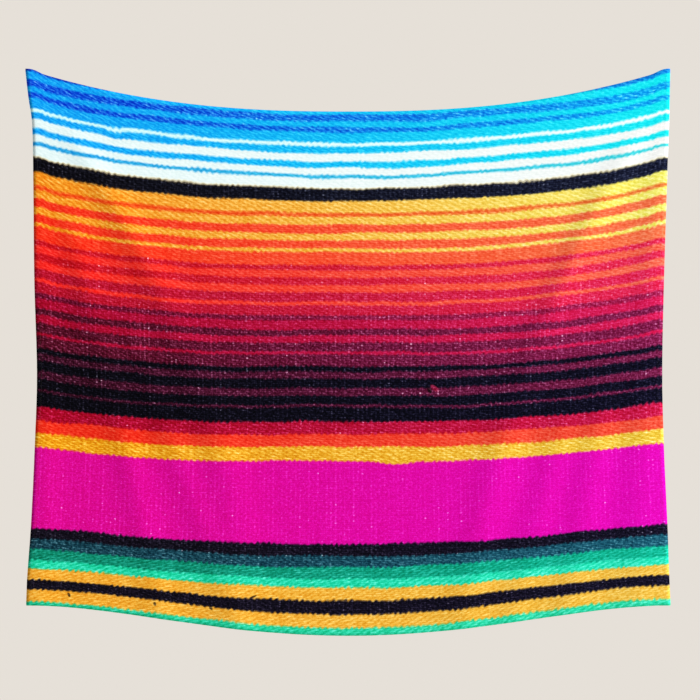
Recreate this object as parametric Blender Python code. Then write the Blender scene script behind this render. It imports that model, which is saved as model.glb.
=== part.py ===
# A printed cloth wall tapestry, hung flat on a wall by its two top corners.
#
# Metres, +Z up, +X to the viewer's right and +Y into the wall. The wall is the plane y = 0 and
# the cloth hangs in front of it, at negative y. The origin lies on the wall, midway between the
# centres of the two small pads that hold the top corners.

from collections import namedtuple
from math import exp

import bmesh
import bpy
from mathutils import Vector

# The cloth laid flat and finished, 60 by 50 inches.
FLAT_WIDTH = 1.524
FLAT_HEIGHT = 1.270

# The cloth as it hangs: its top edge sags in a shallow curve, which draws the corners together.
CORNER_SPAN = 0.9875 * FLAT_WIDTH
SIDE_DROP = 0.985 * FLAT_HEIGHT
TOP_SAG = 0.0661 * FLAT_WIDTH
TOP_SAG_POWER = 2.4
BOTTOM_SAG = 0.0466 * FLAT_WIDTH
BOTTOM_SAG_POWER = 1.95
LEVEL_REACH = 0.045

# Thicknesses: one layer of cloth, the turned hem behind its edges, and the gap where they meet.
CLOTH_THICK = 0.0012
HEM_THICK = 0.0010
HEM_WIDTH = 0.012
SEAM_GAP = 0.0003

# The square pads between the wall and the hem at the two top corners.
PAD_SIDE = 0.020
PAD_THICK = 0.003
PAD_ROUNDING = 0.004
PAD_IN_FROM_SIDE = 0.0035 + PAD_SIDE / 2
PAD_DOWN_FROM_TOP = 0.0055 + PAD_SIDE / 2

# Distance from the wall to the middle of the cloth where a pad carries it. The cloth is flat
# within the first radius of a top corner, and folds freely outside the second.
CORNER_DEPTH = PAD_THICK + SEAM_GAP + HEM_THICK + SEAM_GAP + CLOTH_THICK / 2
FLAT_RADIUS = 0.042
FREE_RADIUS = 0.180

# How much further the cloth stands off the wall at the middle of its top edge and at its foot.
TOP_LEAN = 0.009
TOP_LEAN_END = 0.45
FOOT_LEAN = 0.006
FOOT_LEAN_START = 0.40

# The side edges, each drawn in from its corners: how far down, and how far in on each side.
Draw = namedtuple("Draw", "down left right")
SIDE_DRAWS = [
    Draw(0.00, 0.0000, 0.0000),
    Draw(0.05, 0.0070, 0.0010),
    Draw(0.10, 0.0158, 0.0025),
    Draw(0.20, 0.0188, 0.0075),
    Draw(0.40, 0.0219, 0.0150),
    Draw(0.57, 0.0280, 0.0190),
    Draw(0.70, 0.0232, 0.0155),
    Draw(0.85, 0.0145, 0.0073),
    Draw(0.95, 0.0055, 0.0030),
    Draw(1.00, 0.0032, 0.0000),
]

# Soft ridges that fan out from a top corner. lean is how steeply the crest sets out from that
# side, as a share of the width for the whole drop, and bend how much of that it loses on the
# way. height is how far it stands out, spread its half width at the foot, and start the share
# down at which it sets in.
Ridge = namedtuple("Ridge", "corner lean bend height spread start")
RIDGES = [
    Ridge("left", 0.02, 0.00, 0.0040, 0.024, 0.15),
    Ridge("left", 0.21, 0.00, 0.0050, 0.027, 0.16),
    Ridge("left", 0.33, 0.00, 0.0040, 0.028, 0.32),
    Ridge("left", 0.66, 0.50, 0.0062, 0.046, 0.04),
    Ridge("right", 0.05, 0.00, 0.0040, 0.034, 0.03),
    Ridge("right", 0.16, 0.00, 0.0048, 0.032, 0.38),
    Ridge("right", 0.25, 0.00, 0.0038, 0.028, 0.48),
    Ridge("right", 0.52, 0.38, 0.0064, 0.036, 0.04),
]
RIDGE_GROWTH = 0.23
RIDGE_FADE = 0.45
RIDGE_FOOT_SHARE = 0.62
RIDGE_HEAD_SPREAD = 0.026

# The grid that the cloth is cut into, besides the narrow cells along its edges.
INNER_COLUMNS = 44
INNER_ROWS = 26
PAD_LINE = 0.029


def soft_step(low, high, value):
    """0 up to low, 1 from high on, with a soft rise between."""
    share = min(max((value - low) / (high - low), 0.0), 1.0)
    return share * share * (3.0 - 2.0 * share)


def drawn_in(side, down):
    """How far a side edge is drawn in, on a smooth curve through the rows of the table."""
    rows = [(draw.down, getattr(draw, side)) for draw in SIDE_DRAWS]
    last = len(rows) - 1
    i = max(k for k in range(last) if rows[k][0] <= max(down, 0.0))
    (d0, v0), (d1, v1) = rows[i], rows[i + 1]

    def slope(k):
        before = rows[max(k - 1, 0)]
        after = rows[min(k + 1, last)]
        return (after[1] - before[1]) / (after[0] - before[0])

    gap = d1 - d0
    u = (down - d0) / gap
    rise = v0 * (2 * u**3 - 3 * u**2 + 1) + v1 * (3 * u**2 - 2 * u**3)
    return rise + gap * (slope(i) * (u**3 - 2 * u**2 + u) + slope(i + 1) * (u**3 - u**2))


def from_corner(across, down):
    """Distance over the cloth to the nearer top corner, and along the top edge to it."""
    along = min(across, 1.0 - across) * FLAT_WIDTH
    return (along**2 + (down * FLAT_HEIGHT) ** 2) ** 0.5, along


def stand_off(across, down):
    """Distance from the wall to the middle of the cloth."""
    off_centre = 2.0 * across - 1.0
    depth = CORNER_DEPTH
    depth += TOP_LEAN * (1.0 - off_centre**2) * (1.0 - soft_step(0.0, TOP_LEAN_END, down))
    depth += FOOT_LEAN * soft_step(FOOT_LEAN_START, 1.0, down)
    for ridge in RIDGES:
        inward = across if ridge.corner == "left" else 1.0 - across
        spread = RIDGE_HEAD_SPREAD + (ridge.spread - RIDGE_HEAD_SPREAD) * down
        crest = ridge.lean * down * (1.0 - ridge.bend * down)
        aside = (inward - crest) * FLAT_WIDTH / spread
        grown = soft_step(ridge.start, ridge.start + RIDGE_GROWTH, down)
        faded = 1.0 - (1.0 - RIDGE_FOOT_SHARE) * soft_step(RIDGE_FADE, 1.0, down)
        depth += ridge.height * grown * faded * exp(-0.5 * aside**2)
    free = soft_step(FLAT_RADIUS, FREE_RADIUS, from_corner(across, down)[0])
    return CORNER_DEPTH + free * (depth - CORNER_DEPTH)


def hang(across, down):
    """A point on the middle of the cloth, from its shares across and down."""
    off_centre = min(abs(2.0 * across - 1.0), 1.0)
    level = soft_step(0.0, LEVEL_REACH, from_corner(across, 0.0)[1])
    top = PAD_DOWN_FROM_TOP - TOP_SAG * (1.0 - off_centre**TOP_SAG_POWER) * level
    bottom = PAD_DOWN_FROM_TOP - SIDE_DROP - BOTTOM_SAG * (1.0 - off_centre**2) ** BOTTOM_SAG_POWER
    left = -CORNER_SPAN / 2 + drawn_in("left", down)
    right = CORNER_SPAN / 2 - drawn_in("right", down)
    return Vector(
        (left + across * (right - left), -stand_off(across, down), top + down * (bottom - top))
    )


def outward(across, down):
    """Unit vector square to the cloth, away from the wall."""
    step = 0.002
    along = hang(min(across + step, 1.0), down) - hang(max(across - step, 0.0), down)
    fall = hang(across, min(down + step, 1.0)) - hang(across, max(down - step, 0.0))
    return fall.cross(along).normalized()


def grid_lines(length, inner):
    """Shares of a length: the edge, the hem's inner edge, the pad's far side, then even cells."""
    near = [0.0, HEM_WIDTH / length, PAD_LINE / length]
    span = 1.0 - 2.0 * near[-1]
    middle = [near[-1] + span * k / inner for k in range(1, inner)]
    return near + middle + [1.0 - share for share in reversed(near)]


def principled(name, colour, roughness):
    material = bpy.data.materials.new(name)
    material.use_nodes = True
    shader = material.node_tree.nodes["Principled BSDF"]
    shader.inputs["Base Color"].default_value = (*colour, 1.0)
    shader.inputs["Roughness"].default_value = roughness
    shader.inputs["Metallic"].default_value = 0.0
    material.diffuse_color = (*colour, 1.0)
    return material


def add_object(name, shape, material):
    """Turn a finished bmesh into a named object with its material."""
    bmesh.ops.triangulate(shape, faces=shape.faces)
    bmesh.ops.recalc_face_normals(shape, faces=shape.faces)
    mesh = bpy.data.meshes.new(name)
    shape.to_mesh(mesh)
    shape.free()
    mesh.materials.append(material)
    made = bpy.data.objects.new(name, mesh)
    bpy.context.collection.objects.link(made)
    return made


def cloth_piece(name, columns, rows, back, front, material):
    """A closed layer of cloth over a grid of shares across and down.

    back and front are where its two faces lie, in front of the cloth's middle surface.
    """
    shape = bmesh.new()
    square = shape.verts.layers.float_vector.new("outward")
    bmesh.ops.create_grid(
        shape, x_segments=len(columns) - 1, y_segments=len(rows) - 1, size=1.0
    )
    for vert in shape.verts:
        across = columns[round((vert.co.x + 1.0) / 2.0 * (len(columns) - 1))]
        down = rows[round((1.0 - vert.co.y) / 2.0 * (len(rows) - 1))]
        away = outward(across, down)
        vert.co = hang(across, down) + away * back
        vert[square] = away
    bmesh.ops.triangulate(shape, faces=shape.faces, quad_method="FIXED")
    raised = bmesh.ops.extrude_face_region(shape, geom=shape.faces[:])
    for vert in raised["geom"]:
        if isinstance(vert, bmesh.types.BMVert):
            vert.co += Vector(vert[square]) * (front - back)
    return add_object(name, shape, material)


def panel_and_hems():
    """The printed panel, and the turned hem behind each of its four edges."""
    printed = principled("printed_cloth", (0.76, 0.01, 0.32), 0.85)
    columns = grid_lines(FLAT_WIDTH, INNER_COLUMNS)
    rows = grid_lines(FLAT_HEIGHT, INNER_ROWS)
    cloth_piece("panel", columns, rows, -CLOTH_THICK / 2, CLOTH_THICK / 2, printed)

    hem_front = -CLOTH_THICK / 2 - SEAM_GAP
    hem_back = hem_front - HEM_THICK
    gap_down = SEAM_GAP / FLAT_HEIGHT
    side_rows = [rows[1] + gap_down] + rows[2:-2] + [rows[-2] - gap_down]
    hems = {
        "hem_top": (columns, rows[:2]),
        "hem_bottom": (columns, rows[-2:]),
        "hem_left": (columns[:2], side_rows),
        "hem_right": (columns[-2:], side_rows),
    }
    for name, (across, down) in hems.items():
        cloth_piece(name, across, down, hem_back, hem_front, printed)


def wall_pads():
    """The two pads that stick to the wall and carry the top corners by the hem."""
    pad_material = principled("fixing_pad", (0.86, 0.86, 0.84), 0.6)
    reach = CORNER_SPAN / 2 - PAD_IN_FROM_SIDE
    for name, centre_x in (("wall_pad_left", -reach), ("wall_pad_right", reach)):
        shape = bmesh.new()
        bmesh.ops.create_cube(shape, size=1.0)
        bmesh.ops.scale(shape, vec=(PAD_SIDE, PAD_THICK, PAD_SIDE), verts=shape.verts)
        through = [
            edge
            for edge in shape.edges
            if abs(edge.verts[0].co.y - edge.verts[1].co.y) > PAD_THICK / 2
        ]
        bmesh.ops.bevel(
            shape, geom=through, offset=PAD_ROUNDING, segments=4, profile=0.5, affect="EDGES"
        )
        pad = add_object(name, shape, pad_material)
        pad.location = (centre_x, -PAD_THICK / 2, 0.0)


for old in list(bpy.data.objects):
    bpy.data.objects.remove(old, do_unlink=True)
panel_and_hems()
wall_pads()
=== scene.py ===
# The looks of a printed cloth wall tapestry, hung flat on a wall by its two top corners.
#
# Metres, +Z up, +X to the viewer's right and +Y into the wall, which is the plane y = 0. The
# sections follow the object as it is put together: the printed cloth, its turned hems, the
# stitching that holds them, and the two pads that carry the top corners.

from collections import namedtuple
from math import cos, exp, hypot, pi, radians, sin, tau

import bmesh
import bpy
from mathutils import Matrix, Vector


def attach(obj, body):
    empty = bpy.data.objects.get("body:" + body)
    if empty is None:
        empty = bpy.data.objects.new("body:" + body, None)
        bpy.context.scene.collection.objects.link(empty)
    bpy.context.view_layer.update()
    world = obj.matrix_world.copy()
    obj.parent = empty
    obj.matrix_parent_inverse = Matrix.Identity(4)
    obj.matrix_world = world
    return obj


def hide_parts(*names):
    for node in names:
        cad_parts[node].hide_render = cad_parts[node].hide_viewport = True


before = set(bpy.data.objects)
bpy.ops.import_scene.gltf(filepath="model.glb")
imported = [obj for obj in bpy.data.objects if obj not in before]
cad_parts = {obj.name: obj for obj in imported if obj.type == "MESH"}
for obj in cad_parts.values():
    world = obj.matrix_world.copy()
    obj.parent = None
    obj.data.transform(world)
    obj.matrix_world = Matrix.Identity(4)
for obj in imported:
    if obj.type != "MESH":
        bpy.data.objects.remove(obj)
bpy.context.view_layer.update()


# The viewer stands square to the wall with a long lens, level with the middle of the cloth, so
# the cloth's outline shows with next to no perspective.
CAMERA_DISTANCE = 5.0
VIEW_WIDTH = 1.636
VIEW_CENTRE_X = 0.0053
VIEW_CENTRE_Z = -0.6405
SENSOR_WIDTH_MM = 36.0

camera_data = bpy.data.cameras.new("camera")
camera_data.sensor_width = SENSOR_WIDTH_MM
camera_data.lens = SENSOR_WIDTH_MM * CAMERA_DISTANCE / VIEW_WIDTH
camera = bpy.data.objects.new("camera", camera_data)
camera.location = (VIEW_CENTRE_X, -CAMERA_DISTANCE, VIEW_CENTRE_Z)
camera.rotation_euler = (pi / 2, 0.0, 0.0)
bpy.context.collection.objects.link(camera)
bpy.context.scene.camera = camera
bpy.context.scene.view_settings.view_transform = "Standard"


# The cloth is one 60 by 50 inch rectangle of light polyester, hung from its top corners, so the
# top edge sags between them, the sides draw in and soft folds fan out from both corners. These
# are the sizes and the shape of the solid that it replaces.
FLAT_WIDTH = 1.524
FLAT_HEIGHT = 1.270
CORNER_SPAN = 0.9875 * FLAT_WIDTH
SIDE_DROP = 0.985 * FLAT_HEIGHT
TOP_SAG = 0.0661 * FLAT_WIDTH
TOP_SAG_POWER = 2.4
BOTTOM_SAG = 0.0466 * FLAT_WIDTH
BOTTOM_SAG_POWER = 1.95
LEVEL_REACH = 0.045
TOP_ABOVE_PADS = 0.0155

# The cloth is held flat within FLAT_RADIUS of each corner and hangs free past FREE_RADIUS. Midway
# its top edge leans out from the wall, down to TOP_LEAN_END of the drop, and its foot leans out
# from FOOT_LEAN_START on.
CORNER_DEPTH = 0.0052
FLAT_RADIUS = 0.042
FREE_RADIUS = 0.180
TOP_LEAN = 0.009
TOP_LEAN_END = 0.45
FOOT_LEAN = 0.006
FOOT_LEAN_START = 0.40

# How far each side edge draws in, at a share of the way down.
Draw = namedtuple("Draw", "down left right")
SIDE_DRAWS = [
    Draw(0.00, 0.0000, 0.0000),
    Draw(0.05, 0.0070, 0.0010),
    Draw(0.10, 0.0158, 0.0025),
    Draw(0.20, 0.0188, 0.0075),
    Draw(0.40, 0.0219, 0.0150),
    Draw(0.57, 0.0280, 0.0190),
    Draw(0.70, 0.0232, 0.0155),
    Draw(0.85, 0.0145, 0.0073),
    Draw(0.95, 0.0055, 0.0030),
    Draw(1.00, 0.0032, 0.0000),
]

# Soft ridges that fan out from a top corner. lean is how steeply the crest sets out from that
# side, as a share of the width for the whole drop, and bend how much of that it loses on the
# way. height is how far it stands out, spread its half width at the foot, and start the share
# down at which it sets in.
Ridge = namedtuple("Ridge", "corner lean bend height spread start")
RIDGES = [
    Ridge("left", 0.02, 0.00, 0.0040, 0.024, 0.15),
    Ridge("left", 0.21, 0.00, 0.0050, 0.027, 0.16),
    Ridge("left", 0.33, 0.00, 0.0040, 0.028, 0.32),
    Ridge("left", 0.66, 0.50, 0.0062, 0.046, 0.04),
    Ridge("right", 0.05, 0.00, 0.0040, 0.034, 0.03),
    Ridge("right", 0.16, 0.00, 0.0048, 0.032, 0.38),
    Ridge("right", 0.25, 0.00, 0.0038, 0.028, 0.48),
    Ridge("right", 0.52, 0.38, 0.0064, 0.036, 0.04),
]

# A ridge grows to its full height over RIDGE_GROWTH of the drop. From RIDGE_FADE on it sinks to
# RIDGE_FOOT_SHARE of it at the foot.
RIDGE_GROWTH = 0.23
RIDGE_FADE = 0.45
RIDGE_FOOT_SHARE = 0.62
RIDGE_HEAD_SPREAD = 0.026

# The edges pucker a little between stitches, less than a millimetre and unevenly. The waves
# drift out of step by so many radians over the whole width and the whole drop.
PUCKER_DEPTH = 0.0004
PUCKER_REACH = 0.022
PUCKER_LENGTHS = (0.037, 0.0613, 0.0235)
PUCKER_DRIFT_ACROSS = 7.0
PUCKER_DRIFT_DOWN = 3.0

CLOTH_THICK = 0.0004
CLOTH_COLUMNS = 190
CLOTH_ROWS = 158


def soft_step(low, high, value):
    """0 up to low, 1 from high on, with a soft rise between."""
    share = min(max((value - low) / (high - low), 0.0), 1.0)
    return share * share * (3.0 - 2.0 * share)


def curve_through(rows, column, down):
    """A smooth curve through one column of a table, at a share of the way down."""
    last = len(rows) - 1
    i = max([0] + [k for k in range(last) if rows[k].down <= down])
    d0, d1 = rows[i].down, rows[i + 1].down
    v0, v1 = getattr(rows[i], column), getattr(rows[i + 1], column)

    def slope(k):
        before, after = rows[max(k - 1, 0)], rows[min(k + 1, last)]
        return (getattr(after, column) - getattr(before, column)) / (after.down - before.down)

    gap = d1 - d0
    u = min(max((down - d0) / gap, 0.0), 1.0)
    rise = v0 * (2 * u**3 - 3 * u**2 + 1) + v1 * (3 * u**2 - 2 * u**3)
    return rise + gap * (slope(i) * (u**3 - 2 * u**2 + u) + slope(i + 1) * (u**3 - u**2))


def pucker(across, down):
    """The small waves along the stitched edges, as a distance away from the wall."""
    to_side = min(across, 1.0 - across) * FLAT_WIDTH
    to_end = min(down, 1.0 - down) * FLAT_HEIGHT
    waves = 0.0
    for along, reach in ((down * FLAT_HEIGHT, to_side), (across * FLAT_WIDTH, to_end)):
        near = exp(-max(reach, 0.0) / PUCKER_REACH)
        turn = PUCKER_DRIFT_ACROSS * across + PUCKER_DRIFT_DOWN * down
        waves += near * sum(sin(tau * along / length + turn) for length in PUCKER_LENGTHS)
    return PUCKER_DEPTH * waves / 2


def stand_off(across, down):
    """Distance from the wall to the middle of the cloth."""
    along = min(across, 1.0 - across) * FLAT_WIDTH
    to_corner = hypot(along, down * FLAT_HEIGHT)
    off_centre = 2.0 * across - 1.0
    depth = CORNER_DEPTH
    depth += TOP_LEAN * (1.0 - off_centre**2) * (1.0 - soft_step(0.0, TOP_LEAN_END, down))
    depth += FOOT_LEAN * soft_step(FOOT_LEAN_START, 1.0, down)
    faded = 1.0 - (1.0 - RIDGE_FOOT_SHARE) * soft_step(RIDGE_FADE, 1.0, down)
    for ridge in RIDGES:
        inward = across if ridge.corner == "left" else 1.0 - across
        spread = RIDGE_HEAD_SPREAD + (ridge.spread - RIDGE_HEAD_SPREAD) * down
        crest = ridge.lean * down * (1.0 - ridge.bend * down)
        aside = (inward - crest) * FLAT_WIDTH / spread
        grown = soft_step(ridge.start, ridge.start + RIDGE_GROWTH, down)
        depth += ridge.height * grown * faded * exp(-0.5 * aside**2)
    depth += pucker(across, down)
    free = soft_step(FLAT_RADIUS, FREE_RADIUS, to_corner)
    return CORNER_DEPTH + free * (depth - CORNER_DEPTH)


def column_ends(across):
    """Heights of the top and bottom edges of the cloth at a share across."""
    off_centre = min(abs(2.0 * across - 1.0), 1.0)
    along = min(across, 1.0 - across) * FLAT_WIDTH
    level = soft_step(0.0, LEVEL_REACH, along)
    top = TOP_ABOVE_PADS - TOP_SAG * (1.0 - off_centre**TOP_SAG_POWER) * level
    bottom = TOP_ABOVE_PADS - SIDE_DROP - BOTTOM_SAG * (1.0 - off_centre**2) ** BOTTOM_SAG_POWER
    return top, bottom


def hang(across, down):
    """A point on the middle of the cloth, from its shares across and down."""
    top, bottom = column_ends(across)
    left = -CORNER_SPAN / 2 + curve_through(SIDE_DRAWS, "left", down)
    right = CORNER_SPAN / 2 - curve_through(SIDE_DRAWS, "right", down)
    return Vector(
        (left + across * (right - left), -stand_off(across, down), top + down * (bottom - top))
    )


def outward(across, down):
    """Unit vector square to the cloth, away from the wall."""
    step = 0.002
    along = hang(across + step, down) - hang(across - step, down)
    fall = hang(across, down + step) - hang(across, down - step)
    return fall.cross(along).normalized()


# The stripes were printed straight, but the hung cloth bows them: towards the sides they lie
# lower than at the middle, by up to 5 cm. left and right are how much at the two side edges.
Bow = namedtuple("Bow", "down left right")
BOWS = [
    Bow(0.000, 0.016, 0.022),
    Bow(0.020, 0.015, 0.023),
    Bow(0.050, 0.018, 0.021),
    Bow(0.130, 0.019, 0.022),
    Bow(0.170, 0.026, 0.023),
    Bow(0.220, 0.032, 0.025),
    Bow(0.270, 0.032, 0.0275),
    Bow(0.380, 0.036, 0.030),
    Bow(0.440, 0.041, 0.035),
    Bow(0.500, 0.044, 0.036),
    Bow(0.560, 0.047, 0.038),
    Bow(0.650, 0.049, 0.0395),
    Bow(0.720, 0.044, 0.033),
    Bow(0.800, 0.040, 0.030),
    Bow(0.870, 0.032, 0.0245),
    Bow(0.910, 0.027, 0.018),
    Bow(0.935, 0.023, 0.012),
    Bow(0.960, 0.012, 0.004),
    Bow(1.000, 0.008, 0.0025),
]

# At the top the bow sets in only BOW_START_AT_TOP of the way from the middle to the sides, which
# shrinks to nothing over BOW_START_GONE of the drop. A few rounds find the place on the print.
BOW_START_AT_TOP = 0.45
BOW_START_GONE = 0.32
BOW_ROUNDS = 5


def print_down(across, down):
    """How far down the straight print the cloth at these shares lies, in metres."""
    top, bottom = column_ends(min(max(across, 0.0), 1.0))
    side = "left" if across < 0.5 else "right"
    off_centre = abs(2.0 * across - 1.0)
    share = down
    for _ in range(BOW_ROUNDS):
        start = BOW_START_AT_TOP * (1.0 - soft_step(0.0, BOW_START_GONE, share))
        bow = curve_through(BOWS, side, share) * soft_step(start, 1.0, off_centre)
        share = down - bow / (top - bottom)
    return share * FLAT_HEIGHT


def make_piece(name, shape, materials):
    """An object of that name from a finished bmesh."""
    mesh = bpy.data.meshes.new(name)
    shape.to_mesh(mesh)
    shape.free()
    for material in materials:
        mesh.materials.append(material)
    made = bpy.data.objects.new(name, mesh)
    bpy.context.collection.objects.link(made)
    return made


def lay_cloth(name, columns, rows, point, cut, thickness, materials):
    """A thin sheet of cloth over a grid.

    point(column, row) places it and cut(column, row) is where it lies on the flat print.
    """
    shape = bmesh.new()
    bmesh.ops.create_grid(
        shape, x_segments=len(columns) - 1, y_segments=len(rows) - 1, size=1.0
    )
    on_print = {}
    for vert in shape.verts:
        column = columns[round((vert.co.x + 1.0) / 2.0 * (len(columns) - 1))]
        row = rows[round((1.0 - vert.co.y) / 2.0 * (len(rows) - 1))]
        on_print[vert] = cut(column, row)
        vert.co = point(column, row)
    print_map = shape.loops.layers.uv.new("print")
    for face in shape.faces:
        face.smooth = True
        for corner in face.loops:
            corner[print_map].uv = on_print[corner.vert]
    made = make_piece(name, shape, materials)
    shell = made.modifiers.new("thickness", "SOLIDIFY")
    shell.thickness = thickness
    shell.offset = 0.0
    shell.material_offset = 1
    return made


def linear(hex_colour):
    """An sRGB hex colour as linear red, green, blue and alpha."""
    shares = [int(hex_colour[i : i + 2], 16) / 255 for i in (0, 2, 4)]
    return tuple(
        s / 12.92 if s <= 0.04045 else ((s + 0.055) / 1.055) ** 2.4 for s in shares
    ) + (1.0,)


def add(tree, kind, inputs=(), **settings):
    """Adds a node with its settings. An input is a value, a socket, or a node's first output."""
    node = tree.nodes.new(kind)
    for name, value in settings.items():
        setattr(node, name, value)
    for key, value in dict(inputs).items():
        if isinstance(value, bpy.types.Node):
            value = next(socket for socket in value.outputs if socket.enabled)
        if isinstance(value, bpy.types.NodeSocket):
            tree.links.new(value, node.inputs[key])
        else:
            node.inputs[key].default_value = value
    return node


def start_finish(name):
    """A new material, with its node tree and its shader."""
    finish = bpy.data.materials.new(name)
    finish.use_nodes = True
    return finish, finish.node_tree, finish.node_tree.nodes["Principled BSDF"]


# The print is an enlarged picture of a weft-faced striped weave. Each yarn has its colour at the
# left and right side of the cloth, how strongly its floats show, how many pale glints it has,
# and which way its twist leans, 1 for falling to the right and -1 for rising. The two colours
# hold painted light as well as the dye: the left ones are darker with painted shade, the right
# ones paler with painted light, as light falls from the right.
Yarn = namedtuple("Yarn", "left right float_depth glint lean")
YARNS = {
    "navy": Yarn("0f46b8", "1292ee", 0.60, 0.1, 1.0),
    "deep blue": Yarn("0c50de", "0cacf4", 0.74, 0.15, 1.0),
    "azure": Yarn("12a6f8", "14ebf3", 0.48, 0.0, 1.0),
    "light sky": Yarn("1aa0e6", "34d8e0", 0.40, 0.0, 0.6),
    "ice": Yarn("d4fefe", "f8fefe", 0.36, 0.0, 0.6),
    "white": Yarn("e8fbfb", "f5f7f5", 0.26, 0.0, 0.6),
    "cream": Yarn("f2d795", "f6e6a8", 0.40, 0.0, 0.6),
    "black": Yarn("090911", "161b32", 0.36, 0.35, 0.3),
    "yellow": Yarn("f49a24", "f6f276", 0.60, 0.0, 1.0),
    "orange": Yarn("ee4a14", "ee803e", 0.42, 0.0, 0.8),
    "light scarlet": Yarn("f2321a", "f6764c", 0.40, 0.1, 0.6),
    "scarlet": Yarn("ee2822", "f66a52", 0.42, 0.1, 0.6),
    "light crimson": Yarn("c2101e", "e82c56", 0.44, 0.5, 0.6),
    "crimson": Yarn("b00e28", "e62656", 0.44, 0.5, 0.5),
    "dark crimson": Yarn("a0062a", "da1c5a", 0.38, 0.5, 0.5),
    "light wine": Yarn("640826", "aa1e54", 0.45, 0.65, 0.5),
    "wine": Yarn("4e0a20", "821a4c", 0.42, 0.6, 0.5),
    "dark wine": Yarn("360a1e", "741a46", 0.40, 0.6, 0.5),
    "ink": Yarn("05040b", "0c0b20", 0.36, 0.45, 0.3),
    "low ink": Yarn("0d0915", "100d21", 0.36, 0.45, 0.3),
    "deep crimson": Yarn("a20424", "c81446", 0.48, 0.5, 0.5),
    "vermilion": Yarn("e62c18", "ee503a", 0.42, 0.05, 0.5),
    "golden": Yarn("e69a12", "eecc48", 0.72, 0.1, 0.4),
    "magenta": Yarn("d4048a", "e204b8", 0.24, 0.55, 0.0),
    "teal": Yarn("123a48", "18586e", 0.50, 0.4, 0.4),
    "green": Yarn("0a8468", "0cb694", 0.55, 0.1, -0.5),
    "mint": Yarn("1ccea0", "2ce4be", 0.66, 0.05, -0.8),
    "low golden": Yarn("eaa630", "ecc04a", 0.56, 0.05, -0.5),
    "low mint": Yarn("1ec898", "32deb0", 0.62, 0.05, -0.8),
}

# The chart of the stripes from the top of the print, in picks, the rows of the printed picture.
PICK = 0.0013
CHART_TOP = -60
Stripe = namedtuple("Stripe", "yarn picks")
CHART = [
    Stripe("navy", 52),
    Stripe("azure", 14),
    Stripe("deep blue", 13),
    Stripe("azure", 11),
    Stripe("deep blue", 9),
    Stripe("azure", 19),
    Stripe("ice", 7),
    Stripe("azure", 11),
    Stripe("white", 17),
    Stripe("azure", 11),
    Stripe("white", 14),
    Stripe("light sky", 6),
    Stripe("white", 18),
    Stripe("cream", 2),
    Stripe("black", 23),
    Stripe("yellow", 22),
    Stripe("orange", 7),
    Stripe("yellow", 15),
    Stripe("light scarlet", 15),
    Stripe("yellow", 14),
    Stripe("light scarlet", 15),
    Stripe("yellow", 7),
    Stripe("light scarlet", 24),
    Stripe("light crimson", 9),
    Stripe("scarlet", 14),
    Stripe("light crimson", 14),
    Stripe("scarlet", 13),
    Stripe("crimson", 17),
    Stripe("scarlet", 7),
    Stripe("crimson", 19),
    Stripe("light wine", 9),
    Stripe("dark crimson", 17),
    Stripe("wine", 12),
    Stripe("dark crimson", 13),
    Stripe("wine", 17),
    Stripe("dark crimson", 6),
    Stripe("wine", 22),
    Stripe("ink", 9),
    Stripe("dark wine", 13),
    Stripe("ink", 18),
    Stripe("dark wine", 15),
    Stripe("ink", 17),
    Stripe("dark wine", 5),
    Stripe("ink", 26),
    Stripe("deep crimson", 22),
    Stripe("vermilion", 24),
    Stripe("golden", 28),
    Stripe("magenta", 155),
    Stripe("low ink", 22),
    Stripe("teal", 20),
    Stripe("green", 22),
    Stripe("mint", 17),
    Stripe("low golden", 24),
    Stripe("low ink", 26),
    Stripe("low golden", 25),
    Stripe("low mint", 60),
]

# The chart, laid into ramps of 255 picks, a ramp's full number of steps, so that each stripe
# begins exactly on its own pick. Beside the two colours runs a ramp of the yarn's texture.
RAMP_PICKS = 255
starts = []
pick = CHART_TOP
for stripe in CHART:
    starts.append(pick)
    pick += stripe.picks
chart_end = pick
chart = bpy.data.node_groups.new("stripe_chart", "ShaderNodeTree")
chart.interface.new_socket("picks", in_out="INPUT", socket_type="NodeSocketFloat")
picks = add(chart, "NodeGroupInput")
columns_drawn = []
for column in ("left", "right", "texture"):
    chart.interface.new_socket(column, in_out="OUTPUT", socket_type="NodeSocketColor")
    so_far = None
    for first in range(CHART_TOP, chart_end, RAMP_PICKS):
        share = add(
            chart, "ShaderNodeMapRange",
            {0: picks, 1: float(first), 2: float(first + RAMP_PICKS), 3: 0.0, 4: 1.0},
        )
        ramp = add(chart, "ShaderNodeValToRGB", {0: share})
        ramp.color_ramp.interpolation = "CONSTANT"
        ramp.color_ramp.elements.remove(ramp.color_ramp.elements[1])
        for stripe, start in zip(CHART, starts):
            if start + stripe.picks <= first or start >= first + RAMP_PICKS:
                continue
            yarn = YARNS[stripe.yarn]
            if column == "texture":
                colour = (yarn.float_depth, yarn.glint, 0.5 + yarn.lean / 2, 1.0)
            else:
                colour = linear(getattr(yarn, column))
            if start <= first:
                stop = ramp.color_ramp.elements[0]
                stop.position = 0.0
            else:
                stop = ramp.color_ramp.elements.new((start - first - 0.5) / RAMP_PICKS)
            stop.color = colour
        if so_far is None:
            so_far = ramp
        else:
            past = add(
                chart, "ShaderNodeMath", {0: picks, 1: float(first)}, operation="GREATER_THAN"
            )
            so_far = add(
                chart, "ShaderNodeMix", {0: past, 6: so_far, 7: ramp}, data_type="RGBA"
            )
    columns_drawn.append(so_far)
add(chart, "NodeGroupOutput", dict(enumerate(columns_drawn)))

# The picture's weave: its warps lie 11 mm apart, a float passes over two of them, and the rows
# of floats are 5 mm high. Stripe edges step along the floats and wander by a few millimetres.
WARP_PITCH = 0.0108
FLOAT_LENGTH = 2 * WARP_PITCH
FLOAT_HEIGHT = 0.0050

# A smooth noise seldom leaves these levels, so they are what is stretched to its full effect.
NOISE_LOW = 0.3
NOISE_HIGH = 0.7

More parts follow.
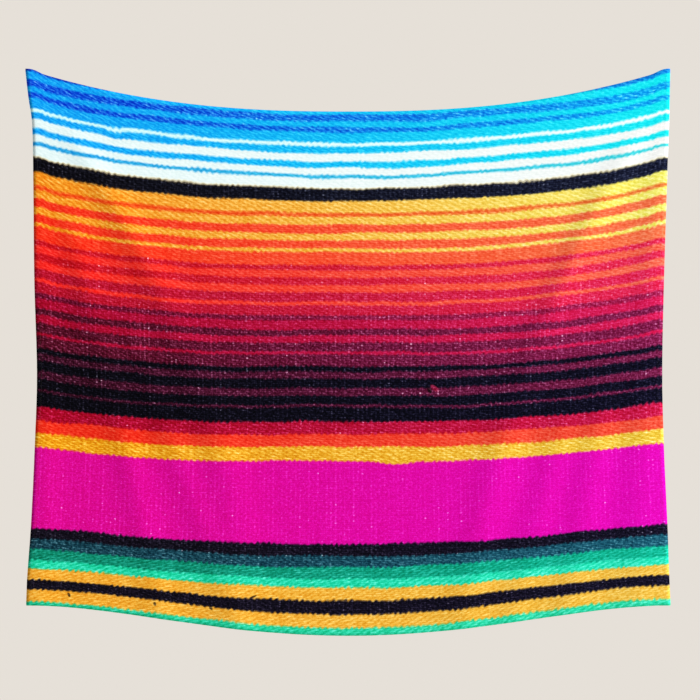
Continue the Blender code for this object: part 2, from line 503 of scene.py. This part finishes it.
# Slubs in the picture. shift is how far the stripes bulge down there, or up if less than 0.
Slub = namedtuple("Slub", "across down half_length half_width shift")
SLUBS = [
    Slub(0.870, 0.845, 0.075, 0.028, 0.0080),
    Slub(0.200, 0.085, 0.040, 0.045, 0.0050),
    Slub(1.085, 0.222, 0.009, 0.014, -0.0050),
]

# Loose yarn ends that lie slantwise over the stripes, and one painted shadow: the first, dark
# mark is the shadow beside the second, as the print shows it. fall is their slope in degrees.
# They fade out from END_SOLID of the way to their edge.
END_COVER = 0.9
END_SOLID = 0.5
End = namedtuple("End", "across down half_length half_width fall colour")
ENDS_AND_SHADOW = [
    # Painted shadow, dark, just left of the red end below.
    End(0.9570, 0.6760, 0.0110, 0.0060, 60.0, "16080c"),
    End(0.9700, 0.6716, 0.0155, 0.0068, 38.0, "921b40"),
    End(0.1000, 1.2300, 0.0080, 0.0045, 65.0, "140a0e"),
    End(0.3035, 1.2280, 0.0070, 0.0048, 80.0, "140a0e"),
    End(0.4360, 1.2215, 0.0080, 0.0050, 60.0, "140a0e"),
    End(0.5356, 1.1822, 0.0120, 0.0034, -25.0, "240c10"),
]

picture = bpy.data.node_groups.new("striped_weave_picture", "ShaderNodeTree")
picture.interface.new_socket("Colour", in_out="OUTPUT", socket_type="NodeSocketColor")
place = add(picture, "ShaderNodeUVMap", uv_map="print")
split = add(picture, "ShaderNodeSeparateXYZ", {0: place})
across, down = split.outputs[0], split.outputs[1]


def reach_from(spot, fall=0.0):
    """How far a place on the print lies from the middle of a spot, 1 at the spot's edge."""
    turned = add(
        picture, "ShaderNodeMapping",
        {
            "Vector": place,
            "Location": (spot.across, spot.down, 0.0),
            "Rotation": (0.0, 0.0, radians(fall)),
            "Scale": (spot.half_length, spot.half_width, 1.0),
        },
        vector_type="TEXTURE",
    )
    return add(picture, "ShaderNodeVectorMath", {0: turned}, operation="LENGTH").outputs["Value"]


# The stripes wander up and down in waves about as long and as high as WANDER_SIZE says, by up
# to half of WANDER either way. level is then where a place lies on the straight print.
WANDER = 0.0130
WANDER_SIZE = (0.180, 0.0625, 1.0)
stretched = add(
    picture, "ShaderNodeVectorMath", {0: place, 1: WANDER_SIZE}, operation="DIVIDE"
)
wander = add(
    picture, "ShaderNodeTexNoise",
    {"Vector": stretched, "Scale": 1.0, "Detail": 3.0, "Roughness": 0.7},
    noise_dimensions="2D",
)
level = add(
    picture, "ShaderNodeMath", {0: wander, 1: -WANDER, 2: down}, operation="MULTIPLY_ADD"
)
level = add(picture, "ShaderNodeMath", {0: level, 1: WANDER / 2}, operation="ADD")
for slub in SLUBS:
    swell = add(
        picture, "ShaderNodeMapRange", {0: reach_from(slub), 1: 0.0, 2: 1.0, 3: 1.0, 4: 0.0},
        interpolation_type="SMOOTHERSTEP",
    )
    level = add(
        picture, "ShaderNodeMath", {0: swell, 1: -slub.shift, 2: level},
        operation="MULTIPLY_ADD",
    )

# The edges step in rounded teeth. From stripe to stripe the teeth move sideways, by half a tooth
# for each BEAD_HEIGHT down, and they slip by up to SLIP_TURN radians from place to place. They
# are bold in some patches and faint in others, and get coarser from COARSE_FROM to COARSE_TO,
# which are metres down the print.
TOOTH_LENGTH = 0.0146
TOOTH_DEPTH = 0.0028
BEAD_HEIGHT = 0.0310
SLIP_TURN = 4.5
SLIP_SIZE = (0.083, 0.055, 1.0)
PATCH_SIZE = (0.025, 0.045, 1.0)
BOLDEST = 1.5
COARSE_FROM = 0.2
COARSE_TO = 1.1
COARSE_AT_TOP = 0.7
COARSE_AT_FOOT = 1.3
drift = add(picture, "ShaderNodeVectorMath", {0: place, 1: SLIP_SIZE}, operation="DIVIDE")
slip = add(
    picture, "ShaderNodeTexNoise", {"Vector": drift, "Scale": 1.0, "Detail": 1.0},
    noise_dimensions="2D",
)
slip = add(picture, "ShaderNodeMath", {0: slip, 1: SLIP_TURN}, operation="MULTIPLY")
slip = add(
    picture, "ShaderNodeMath", {0: level, 1: pi / 2 / BEAD_HEIGHT, 2: slip},
    operation="MULTIPLY_ADD",
)
turn = add(
    picture, "ShaderNodeMath", {0: across, 1: pi / TOOTH_LENGTH, 2: slip},
    operation="MULTIPLY_ADD",
)
tooth = add(picture, "ShaderNodeMath", {0: turn}, operation="SINE")
tooth = add(picture, "ShaderNodeMath", {0: tooth, 1: tooth, 2: -0.5}, operation="MULTIPLY_ADD")
patchy = add(picture, "ShaderNodeVectorMath", {0: place, 1: PATCH_SIZE}, operation="DIVIDE")
boldness = add(
    picture, "ShaderNodeTexNoise", {"Vector": patchy, "Scale": 1.0, "Detail": 1.0},
    noise_dimensions="2D",
)
boldness = add(
    picture, "ShaderNodeMapRange",
    {0: boldness, 1: NOISE_LOW, 2: NOISE_HIGH, 3: 0.0, 4: BOLDEST},
)
coarser = add(
    picture, "ShaderNodeMapRange",
    {0: down, 1: COARSE_FROM, 2: COARSE_TO, 3: COARSE_AT_TOP, 4: COARSE_AT_FOOT},
)
boldness = add(picture, "ShaderNodeMath", {0: boldness, 1: coarser}, operation="MULTIPLY")
tooth = add(picture, "ShaderNodeMath", {0: tooth, 1: boldness}, operation="MULTIPLY")
toothed = add(
    picture, "ShaderNodeMath", {0: tooth, 1: TOOTH_DEPTH, 2: level}, operation="MULTIPLY_ADD"
)

# The dye bleeds into its neighbours, so the colour is a mean of the chart above, at and below.
# Dyes that meet absorb more than the mean of their light, hence the mean under a power. The
# colours change from left to right slowly at first, by SIDE_CHANGE as a power. That change is
# partly the print's own and partly painted light: darker on the left, paler towards the right.
BLEED = 0.0023
DYE_POWER = 2.4
SIDE_CHANGE = 1.5
side = add(picture, "ShaderNodeMapRange", {0: across, 1: 0.0, 2: FLAT_WIDTH, 3: 0.0, 4: 1.0})
side = add(picture, "ShaderNodeMath", {0: side, 1: SIDE_CHANGE}, operation="POWER")
bled_colours = []
for bleed in (-BLEED, BLEED, 0.0):
    bled = add(picture, "ShaderNodeMath", {0: toothed, 1: bleed}, operation="ADD")
    bled = add(picture, "ShaderNodeMath", {0: bled, 1: 1 / PICK}, operation="MULTIPLY")
    yarn_here = add(picture, "ShaderNodeGroup", {0: bled}, node_tree=chart)
    # This mix of the left and right colours holds painted shade on the left and painted light on
    # the right.
    dye_and_side_light = add(
        picture, "ShaderNodeMix",
        {0: side, 6: yarn_here.outputs["left"], 7: yarn_here.outputs["right"]},
        data_type="RGBA",
    )
    bled_colours.append(add(picture, "ShaderNodeGamma", {0: dye_and_side_light, 1: 1 / DYE_POWER}))
around = add(picture, "ShaderNodeMix", {0: 0.5, 6: bled_colours[0], 7: bled_colours[1]}, data_type="RGBA")
base = add(picture, "ShaderNodeMix", {0: 0.5, 6: around, 7: bled_colours[2]}, data_type="RGBA")
base = add(picture, "ShaderNodeGamma", {0: base, 1: DYE_POWER})
for end in ENDS_AND_SHADOW:
    cover = add(
        picture, "ShaderNodeMapRange",
        {0: reach_from(end, end.fall), 1: END_SOLID, 2: 1.0, 3: END_COVER, 4: 0.0},
        interpolation_type="SMOOTHSTEP",
    )
    base = add(
        picture, "ShaderNodeMix", {0: cover, 6: base, 7: linear(end.colour)}, data_type="RGBA"
    )
texture = add(picture, "ShaderNodeSeparateColor", {0: yarn_here.outputs["texture"]})
float_depth, glint, lean = texture.outputs[0], texture.outputs[1], texture.outputs[2]

# The floats: rows of slanted ovals, each row half a float on from the last, a little unevenly.
# Across, an oval fades from OVAL_CREST to OVAL_EDGE of a row off its middle line, and along it
# from OVAL_BODY to OVAL_TIP of its length off its middle.
ROW_SHIFT = 0.5
ROW_SHIFT_UNEVEN = 0.4
OVAL_CREST = 0.05
OVAL_EDGE = 0.6
OVAL_BODY = 0.26
OVAL_TIP = 0.5
row_place = add(
    picture, "ShaderNodeMath", {0: level, 1: 1 / FLOAT_HEIGHT}, operation="MULTIPLY"
)
row = add(picture, "ShaderNodeMath", {0: row_place}, operation="FLOOR")
up_float = add(picture, "ShaderNodeMath", {0: row_place}, operation="FRACT")
row_shift = add(picture, "ShaderNodeTexWhiteNoise", {"W": row}, noise_dimensions="1D")
row_shift = add(
    picture, "ShaderNodeMath", {0: row_shift, 1: ROW_SHIFT_UNEVEN}, operation="MULTIPLY"
)
row_shift = add(
    picture, "ShaderNodeMath", {0: row, 1: ROW_SHIFT, 2: row_shift}, operation="MULTIPLY_ADD"
)
float_place = add(
    picture, "ShaderNodeMath", {0: across, 1: 1 / FLOAT_LENGTH, 2: row_shift},
    operation="MULTIPLY_ADD",
)
float_number = add(picture, "ShaderNodeMath", {0: float_place}, operation="FLOOR")
along_float = add(picture, "ShaderNodeMath", {0: float_place}, operation="FRACT")
slant = add(picture, "ShaderNodeMapRange", {0: lean, 1: 0.0, 2: 1.0, 3: 1.0, 4: -1.0})
from_middle = add(picture, "ShaderNodeMath", {0: along_float, 1: 0.5}, operation="SUBTRACT")
ridge_line = add(
    picture, "ShaderNodeMath", {0: from_middle, 1: slant, 2: up_float},
    operation="MULTIPLY_ADD",
)
off_ridge = add(picture, "ShaderNodeMath", {0: ridge_line, 1: 0.5}, operation="SUBTRACT")
off_ridge = add(picture, "ShaderNodeMath", {0: off_ridge}, operation="ABSOLUTE")
ridge = add(
    picture, "ShaderNodeMapRange",
    {0: off_ridge, 1: OVAL_CREST, 2: OVAL_EDGE, 3: 1.0, 4: 0.0},
    interpolation_type="SMOOTHSTEP",
)
to_end = add(picture, "ShaderNodeMath", {0: from_middle}, operation="ABSOLUTE")
body = add(
    picture, "ShaderNodeMapRange", {0: to_end, 1: OVAL_BODY, 2: OVAL_TIP, 3: 1.0, 4: 0.0},
    interpolation_type="SMOOTHSTEP",
)
oval = add(picture, "ShaderNodeMath", {0: ridge, 1: body}, operation="MULTIPLY")
number = add(picture, "ShaderNodeCombineXYZ", {0: float_number, 1: row})
own_tint = add(picture, "ShaderNodeTexWhiteNoise", {"Vector": number}, noise_dimensions="2D")

# The fibres of a float run along it, in flecks about as long and as high as FIBRE_SIZE says.
# They are drawn coarser than they would be in such a picture, so that they show.
FIBRE_LEAN = 0.35
FIBRE_SIZE = (0.0083, 0.0044, 1.0)
leaning = add(picture, "ShaderNodeMath", {0: across, 1: slant}, operation="MULTIPLY")
leaning = add(
    picture, "ShaderNodeMath", {0: leaning, 1: FIBRE_LEAN, 2: down}, operation="MULTIPLY_ADD"
)
fibre_place = add(picture, "ShaderNodeCombineXYZ", {0: across, 1: leaning})
fibre_place = add(
    picture, "ShaderNodeVectorMath", {0: fibre_place, 1: FIBRE_SIZE}, operation="DIVIDE"
)
fibre = add(
    picture, "ShaderNodeTexNoise", {"Vector": fibre_place, "Scale": 1.0, "Detail": 3.0},
    noise_dimensions="2D",
)

# How light a place on the yarn is. Half of what the three can add comes off again, so that the
# yarn keeps its own colour on the whole.
TINT_LIGHT = 0.5
OVAL_LIGHT = 0.7
FIBRE_LIGHT = 2.1
MEAN_LIGHT = (TINT_LIGHT + OVAL_LIGHT + FIBRE_LIGHT) / 2
light = add(
    picture, "ShaderNodeMath", {0: own_tint, 1: TINT_LIGHT, 2: -MEAN_LIGHT},
    operation="MULTIPLY_ADD",
)
light = add(
    picture, "ShaderNodeMath", {0: oval, 1: OVAL_LIGHT, 2: light}, operation="MULTIPLY_ADD"
)
light = add(
    picture, "ShaderNodeMath", {0: fibre, 1: FIBRE_LIGHT, 2: light}, operation="MULTIPLY_ADD"
)
light = add(picture, "ShaderNodeMath", {0: light, 1: float_depth}, operation="MULTIPLY")

# Faint upright streaks run along the warps, deeper in yarns with many glints. A warp shows in
# full within WARP_FULL of its pitch from its middle and not at all past WARP_GONE. WARP_STEP
# sets how far apart two warps lie in the noise, and so how much their streaks are alike.
WARP_FULL = 0.08
WARP_GONE = 0.28
WARP_STEP = 0.71
STREAK_LENGTH = 0.155
STREAK_MEAN = 0.18
STREAK_DEPTH = 0.07
STREAK_DEPTH_WITH_GLINT = 0.20
warp_place = add(
    picture, "ShaderNodeMath", {0: across, 1: 1 / WARP_PITCH}, operation="MULTIPLY"
)
warp_number = add(picture, "ShaderNodeMath", {0: warp_place}, operation="FLOOR")
over_warp = add(picture, "ShaderNodeMath", {0: warp_place}, operation="FRACT")
over_warp = add(picture, "ShaderNodeMath", {0: over_warp, 1: 0.5}, operation="SUBTRACT")
over_warp = add(picture, "ShaderNodeMath", {0: over_warp}, operation="ABSOLUTE")
on_warp = add(
    picture, "ShaderNodeMapRange", {0: over_warp, 1: WARP_FULL, 2: WARP_GONE, 3: 1.0, 4: 0.0},
    interpolation_type="SMOOTHSTEP",
)
streak_place = add(
    picture, "ShaderNodeMath", {0: down, 1: 1 / STREAK_LENGTH / WARP_STEP}, operation="MULTIPLY"
)
streak_place = add(picture, "ShaderNodeCombineXYZ", {0: warp_number, 1: streak_place})
streak = add(
    picture, "ShaderNodeTexNoise", {"Vector": streak_place, "Scale": WARP_STEP, "Detail": 1.0},
    noise_dimensions="2D",
)
streak = add(
    picture, "ShaderNodeMapRange", {0: streak, 1: NOISE_LOW, 2: NOISE_HIGH, 3: 0.0, 4: 1.0}
)
upright = add(
    picture, "ShaderNodeMath", {0: streak, 1: on_warp, 2: -STREAK_MEAN},
    operation="MULTIPLY_ADD",
)
upright_depth = add(
    picture, "ShaderNodeMath", {0: glint, 1: STREAK_DEPTH_WITH_GLINT, 2: STREAK_DEPTH},
    operation="MULTIPLY_ADD",
)

# Glints, where a pale warp shows between two floats. A high GLINT_RARITY leaves few of them, and
# they gather along the streaks, by GLINT_GATHER more than the GLINT_SPREAD that is everywhere.
GLINT_RARITY = 9.0
GLINT_GATHER = 1.1
GLINT_SPREAD = 0.4
crossing = add(picture, "ShaderNodeCombineXYZ", {0: warp_number, 1: row})
shows = add(picture, "ShaderNodeTexWhiteNoise", {"Vector": crossing}, noise_dimensions="2D")
shows = add(picture, "ShaderNodeMath", {0: shows, 1: GLINT_RARITY}, operation="POWER")
dot_height = add(picture, "ShaderNodeMath", {0: up_float, 1: pi}, operation="MULTIPLY")
dot_height = add(picture, "ShaderNodeMath", {0: dot_height}, operation="SINE")
gather = add(
    picture, "ShaderNodeMath", {0: streak, 1: GLINT_GATHER, 2: GLINT_SPREAD},
    operation="MULTIPLY_ADD",
)
dot = add(picture, "ShaderNodeMath", {0: on_warp, 1: shows}, operation="MULTIPLY")
dot = add(picture, "ShaderNodeMath", {0: dot, 1: dot_height}, operation="MULTIPLY")
dot = add(picture, "ShaderNodeMath", {0: dot, 1: gather}, operation="MULTIPLY")
dot = add(picture, "ShaderNodeMath", {0: dot, 1: glint}, operation="MULTIPLY")

# Pale specks of lint in the same yarns, where the noise passes SPECK_FROM. They are drawn some
# 4 mm wide, coarser than lint, so that they show. Between them the yarn is a little deeper.
SPECK_SIZE = (0.0038, 0.0050, 1.0)
SPECK_FROM = 0.5
SPECK_FULL = 0.8
SPECK_BETWEEN = -0.1
SPECK_PALE = 0.45
speck_place = add(picture, "ShaderNodeVectorMath", {0: place, 1: SPECK_SIZE}, operation="DIVIDE")
speck = add(
    picture, "ShaderNodeTexNoise", {"Vector": speck_place, "Scale": 1.0, "Detail": 0.0},
    noise_dimensions="2D",
)
speck = add(
    picture, "ShaderNodeMapRange",
    {0: speck, 1: SPECK_FROM, 2: SPECK_FULL, 3: SPECK_BETWEEN, 4: SPECK_PALE},
)
speck = add(picture, "ShaderNodeMath", {0: speck, 1: glint}, operation="MULTIPLY")

# A power of the colour turns light places pale and dark ones deep, as dyed yarn does, and a
# plain product under it shades them a little. Light and glints lower the power by these.
POWER_FROM_LIGHT = 0.85
POWER_FROM_GLINT = 0.75
LEAST_POWER = 0.15
SHADE_FROM_LIGHT = 0.22
light = add(
    picture, "ShaderNodeMath", {0: upright, 1: upright_depth, 2: light},
    operation="MULTIPLY_ADD",
)
power = add(
    picture, "ShaderNodeMath", {0: light, 1: -POWER_FROM_LIGHT, 2: 1.0},
    operation="MULTIPLY_ADD",
)
power = add(
    picture, "ShaderNodeMath", {0: dot, 1: -POWER_FROM_GLINT, 2: power},
    operation="MULTIPLY_ADD",
)
power = add(picture, "ShaderNodeMath", {0: power, 1: speck}, operation="SUBTRACT")
power = add(picture, "ShaderNodeMath", {0: power, 1: LEAST_POWER}, operation="MAXIMUM")
shaded = add(picture, "ShaderNodeGamma", {0: base, 1: power})
plain = add(
    picture, "ShaderNodeMath", {0: light, 1: SHADE_FROM_LIGHT, 2: 1.0},
    operation="MULTIPLY_ADD",
)
shaded = add(picture, "ShaderNodeVectorMath", {0: shaded, "Scale": plain}, operation="SCALE")
add(picture, "NodeGroupOutput", {0: shaded})

# Light plain-weave polyester, printed by heat transfer: the dye sits in the fibre, so the face
# stays matt with only a soft sheen, and the fine weave shows as a faint grain from close by.
# Its threads lie about 0.3 mm apart, and are drawn 0.8 mm apart so that they show.
THREAD_PITCH = 0.0008
THREAD_RELIEF = 0.00005
GRAIN_STRENGTH = 0.25


def weave_grain(tree):
    """The bumps of a plain weave, one at every crossing of its threads."""
    place = add(tree, "ShaderNodeUVMap", uv_map="print")
    threads = add(
        tree, "ShaderNodeVectorMath", {0: place, "Scale": tau / THREAD_PITCH},
        operation="SCALE",
    )
    weave = add(tree, "ShaderNodeVectorMath", {0: threads}, operation="SINE")
    weave = add(tree, "ShaderNodeSeparateXYZ", {0: weave})
    weave = add(
        tree, "ShaderNodeMath", {0: weave.outputs[0], 1: weave.outputs[1]},
        operation="MULTIPLY",
    )
    return add(
        tree, "ShaderNodeBump",
        {"Strength": GRAIN_STRENGTH, "Distance": THREAD_RELIEF, "Height": weave},
    )


printed_polyester, tree, shader = start_finish("printed_polyester")
shader.inputs["Roughness"].default_value = 0.82
shader.inputs["Specular IOR Level"].default_value = 0.04
ink = add(tree, "ShaderNodeGroup", node_tree=picture)
tree.links.new(ink.outputs[0], shader.inputs["Base Color"])
tree.links.new(weave_grain(tree).outputs[0], shader.inputs["Normal"])

# The back of the same cloth is unprinted white, with the print showing through it faintly. It
# wasn't pressed, so it is a little rougher than the face.
SHOW_THROUGH = 0.28
plain_reverse, tree, shader = start_finish("plain_polyester_reverse")
shader.inputs["Roughness"].default_value = 0.88
shader.inputs["Specular IOR Level"].default_value = 0.3
ink = add(tree, "ShaderNodeGroup", node_tree=picture)
through = add(
    tree, "ShaderNodeMix", {0: SHOW_THROUGH, 6: linear("ecebe8"), 7: ink}, data_type="RGBA"
)
tree.links.new(through.outputs[2], shader.inputs["Base Color"])
tree.links.new(weave_grain(tree).outputs[0], shader.inputs["Normal"])

cloth = lay_cloth(
    "printed_cloth",
    [k / CLOTH_COLUMNS for k in range(CLOTH_COLUMNS + 1)],
    [k / CLOTH_ROWS for k in range(CLOTH_ROWS + 1)],
    hang,
    lambda across, down: (across * FLAT_WIDTH, print_down(across, down)),
    CLOTH_THICK,
    (printed_polyester, plain_reverse),
)
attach(cloth, "root")
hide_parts("panel")


# The four hems are the edges of the same printed cloth, turned to the back twice and stitched
# down, so their printed side faces the wall. The top and bottom hems lie over the ends of the
# side hems at the corners.
HEM_WIDTH = 0.012
HEM_THICK = 0.00034
HEM_LAYER_IN = 0.00055
HEM_LAYER_OUT = 0.00100
HEM_TUCK_END = 0.0035
SIDE_HEM_TRIM = 0.0015
OVERLAP_RISE = 0.00088
OVERLAP_FULL = 0.0135
OVERLAP_GONE = 0.024
FOLD_STEPS = 6

Fold = namedtuple("Fold", "inward depth cut")


def hem_section(rise):
    """The hem's path from the cloth's edge round to the back, and in to its turned-under end."""
    outer, inner = HEM_LAYER_OUT + rise, HEM_LAYER_IN + rise
    section = []
    for k in range(FOLD_STEPS + 1):
        angle = pi * k / FOLD_STEPS
        section.append((-outer / 2 * sin(angle), outer / 2 * (1.0 - cos(angle))))
    section += [(HEM_WIDTH * share, outer) for share in (0.25, 0.5, 0.75)]
    half = (outer - inner) / 2
    for k in range(FOLD_STEPS // 2 + 1):
        angle = pi * k / (FOLD_STEPS // 2)
        section.append((HEM_WIDTH - half + half * sin(angle), outer - half * (1.0 - cos(angle))))
    section.append((HEM_TUCK_END, inner))
    folds = []
    cut = 0.0
    for k, (inward, depth) in enumerate(section):
        if k:
            cut += hypot(inward - section[k - 1][0], depth - section[k - 1][1])
        folds.append(Fold(inward, depth, cut))
    return folds


def turned_hem(name, node, edge):
    """One hem, along the top, bottom, left or right edge of the cloth."""
    lengthwise = edge in ("top", "bottom")
    steps = CLOTH_COLUMNS if lengthwise else CLOTH_ROWS
    length = FLAT_WIDTH if lengthwise else FLAT_HEIGHT
    other = FLAT_HEIGHT if lengthwise else FLAT_WIDTH
    trim = 0.0 if lengthwise else SIDE_HEM_TRIM / length
    alongs = [trim + (1.0 - 2.0 * trim) * k / steps for k in range(steps + 1)]
    rise = {}
    for along in alongs:
        to_end = min(along, 1.0 - along) * length
        lift = OVERLAP_RISE * (1.0 - soft_step(OVERLAP_FULL, OVERLAP_GONE, to_end))
        rise[along] = hem_section(lift if lengthwise else 0.0)

    def shares(along, inward):
        near = inward / other
        if edge in ("bottom", "right"):
            near = 1.0 - near
        return (along, near) if lengthwise else (near, along)

    def point(along, step):
        fold = rise[along][step]
        across, down = shares(along, fold.inward)
        clear = shares(along, max(fold.inward, 0.0))
        return hang(across, down) - outward(*clear) * fold.depth

    def cut(along, step):
        across, down = shares(along, -rise[along][step].cut)
        return across * FLAT_WIDTH, print_down(across, down)

    steps_across = list(range(len(hem_section(0.0))))
    if edge in ("top", "right"):
        alongs.reverse()
    made = lay_cloth(
        name, alongs, steps_across, point, cut, HEM_THICK, (printed_polyester, plain_reverse)
    )
    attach(made, "root")
    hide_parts(node)
    return made


hems = [
    turned_hem("turned_hem_top", "hem_top", "top"),
    turned_hem("turned_hem_bottom", "hem_bottom", "bottom"),
    turned_hem("turned_hem_left", "hem_left", "left"),
    turned_hem("turned_hem_right", "hem_right", "right"),
]


# The hems are held by a line of lockstitch in clear nylon thread, short rounded stitches that
# pull down into the cloth at each end. The clear thread takes the colour of the print below it,
# so the line hardly shows from the front.
STITCH_PITCH = 0.0034
STITCH_LENGTH = 0.0030
STITCH_WIDTH = 0.00042
STITCH_RISE = 0.00022
STITCH_INSET = 0.0102

# A stitch points along the cloth between the places this share of its edge to either side.
STITCH_AIM = 0.001

# Clear nylon thread is smooth and passes on the ink below it, with a trace of its own white.
THREAD_WHITE = 0.04
clear_thread, tree, shader = start_finish("clear_nylon_thread")
shader.inputs["Roughness"].default_value = 0.45
shader.inputs["Specular IOR Level"].default_value = 0.2
ink = add(tree, "ShaderNodeGroup", node_tree=picture)
through = add(
    tree, "ShaderNodeMix", {0: THREAD_WHITE, 6: ink, 7: linear("f2f2f0")}, data_type="RGBA"
)
tree.links.new(through.outputs[2], shader.inputs["Base Color"])


def stitch_line(shape, print_map, edge, behind):
    """The stitches of one edge, on the front or behind."""
    lengthwise = edge in ("top", "bottom")
    length = FLAT_WIDTH if lengthwise else FLAT_HEIGHT
    inset = STITCH_INSET / (FLAT_HEIGHT if lengthwise else FLAT_WIDTH)
    if edge in ("bottom", "right"):
        inset = 1.0 - inset
    count = int((length - 2 * STITCH_INSET) / STITCH_PITCH)
    first = (length - (count - 1) * STITCH_PITCH) / 2
    for k in range(count):
        along = first + k * STITCH_PITCH
        to_end = min(along, length - along)
        share = along / length
        near, far = share - STITCH_AIM, share + STITCH_AIM
        if lengthwise:
            here, before, after = (share, inset), (near, inset), (far, inset)
        else:
            here, before, after = (inset, share), (inset, near), (inset, far)
        away = outward(*here)
        run = (hang(*after) - hang(*before)).normalized()
        aside = away.cross(run)
        lift = CLOTH_THICK / 2
        if behind:
            lift = -HEM_LAYER_OUT - HEM_THICK / 2
            if lengthwise:
                lift -= OVERLAP_RISE * (1.0 - soft_step(OVERLAP_FULL, OVERLAP_GONE, to_end))
        centre = hang(*here) + away * lift
        turn = Matrix((run * STITCH_LENGTH / 2, aside * STITCH_WIDTH / 2, away * STITCH_RISE))
        place = Matrix.Translation(centre) @ turn.transposed().to_4x4()
        on_print = (here[0] * FLAT_WIDTH, print_down(*here))
        ball = bmesh.ops.create_icosphere(shape, subdivisions=1, radius=1.0, matrix=place)
        for vert in ball["verts"]:
            for corner in vert.link_loops:
                corner[print_map].uv = on_print


for name, behind in (("needle_stitches", False), ("bobbin_stitches", True)):
    shape = bmesh.new()
    print_map = shape.loops.layers.uv.new("print")
    for edge in ("top", "bottom", "left", "right"):
        stitch_line(shape, print_map, edge, behind)
    for face in shape.faces:
        face.smooth = True
    made = make_piece(name, shape, (clear_thread,))
    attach(made, "root")


# The two pads are squares of white closed-cell foam with a sticky film on both faces. They hold
# the top corners to the wall, and only their edges show, from behind.
CELLS_PER_METRE = 2200.0
CELL_DEPTH = 0.0001
DENT_STRENGTH = 0.5

# Closed-cell polyethylene foam has a dull skin, dented by cells just under half a millimetre wide.
foam, tree, shader = start_finish("white_polyethylene_foam")
shader.inputs["Roughness"].default_value = 0.65
place = add(tree, "ShaderNodeTexCoord")
cells = add(
    tree, "ShaderNodeTexVoronoi", {"Vector": place.outputs["Object"], "Scale": CELLS_PER_METRE}
)
shade = add(
    tree, "ShaderNodeMix", {0: cells, 6: linear("e2e2dd"), 7: linear("f2f2ee")},
    data_type="RGBA",
)
dents = add(
    tree, "ShaderNodeBump",
    {"Strength": DENT_STRENGTH, "Distance": CELL_DEPTH, "Height": cells},
)
tree.links.new(shade.outputs[2], shader.inputs["Base Color"])
tree.links.new(dents.outputs[0], shader.inputs["Normal"])
for name in ("wall_pad_left", "wall_pad_right"):
    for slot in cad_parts[name].material_slots:
        slot.material = foam


# Plain studio: a pale floor below the cloth, an even pale surround, one broad soft light from
# the right that brings out the folds, and a weaker one behind for the back.
FLOOR_Z = -1.95
FLOOR_RADIUS = 2.8

# Matt paint, so the floor shows the cloth's soft shadow and no reflection.
painted, _, shader = start_finish("pale_painted_floor")
shader.inputs["Base Color"].default_value = linear("dcd6ce")
shader.inputs["Roughness"].default_value = 0.8
shape = bmesh.new()
bmesh.ops.create_circle(shape, cap_ends=True, segments=96, radius=FLOOR_RADIUS)
bmesh.ops.translate(shape, verts=shape.verts, vec=(0.0, 0.0, FLOOR_Z))
floor = make_piece("floor", shape, (painted,))

SURROUND = linear("e6e0d8")
FILL = 0.42
world = bpy.data.worlds.new("studio")
world.use_nodes = True
bpy.context.scene.world = world
tree = world.node_tree
tree.nodes.clear()
seen = add(tree, "ShaderNodeBackground", {"Color": SURROUND, "Strength": 1.0})
fill = add(tree, "ShaderNodeBackground", {"Color": (1.0, 1.0, 1.0, 1.0), "Strength": FILL})
ray = add(tree, "ShaderNodeLightPath")
mixed = add(tree, "ShaderNodeMixShader", {0: ray, 1: fill, 2: seen})
add(tree, "ShaderNodeOutputWorld", {0: mixed})

# The lights' bearings, heights and spreads are in degrees. Bearing 0 is on the viewer's side.
Light = namedtuple("Light", "name bearing height strength spread")
LIGHTS = [
    Light("key", 66.0, 12.0, 4.55, 30.0),
    Light("back", 200.0, 30.0, 1.6, 50.0),
]
for light in LIGHTS:
    data = bpy.data.lights.new(light.name, "SUN")
    data.energy = light.strength
    data.angle = radians(light.spread)
    lamp = bpy.data.objects.new(light.name, data)
    bearing, height = radians(light.bearing), radians(light.height)
    towards = Vector((sin(bearing) * cos(height), -cos(bearing) * cos(height), sin(height)))
    lamp.rotation_euler = towards.to_track_quat("Z", "Y").to_euler()
    bpy.context.collection.objects.link(lamp)
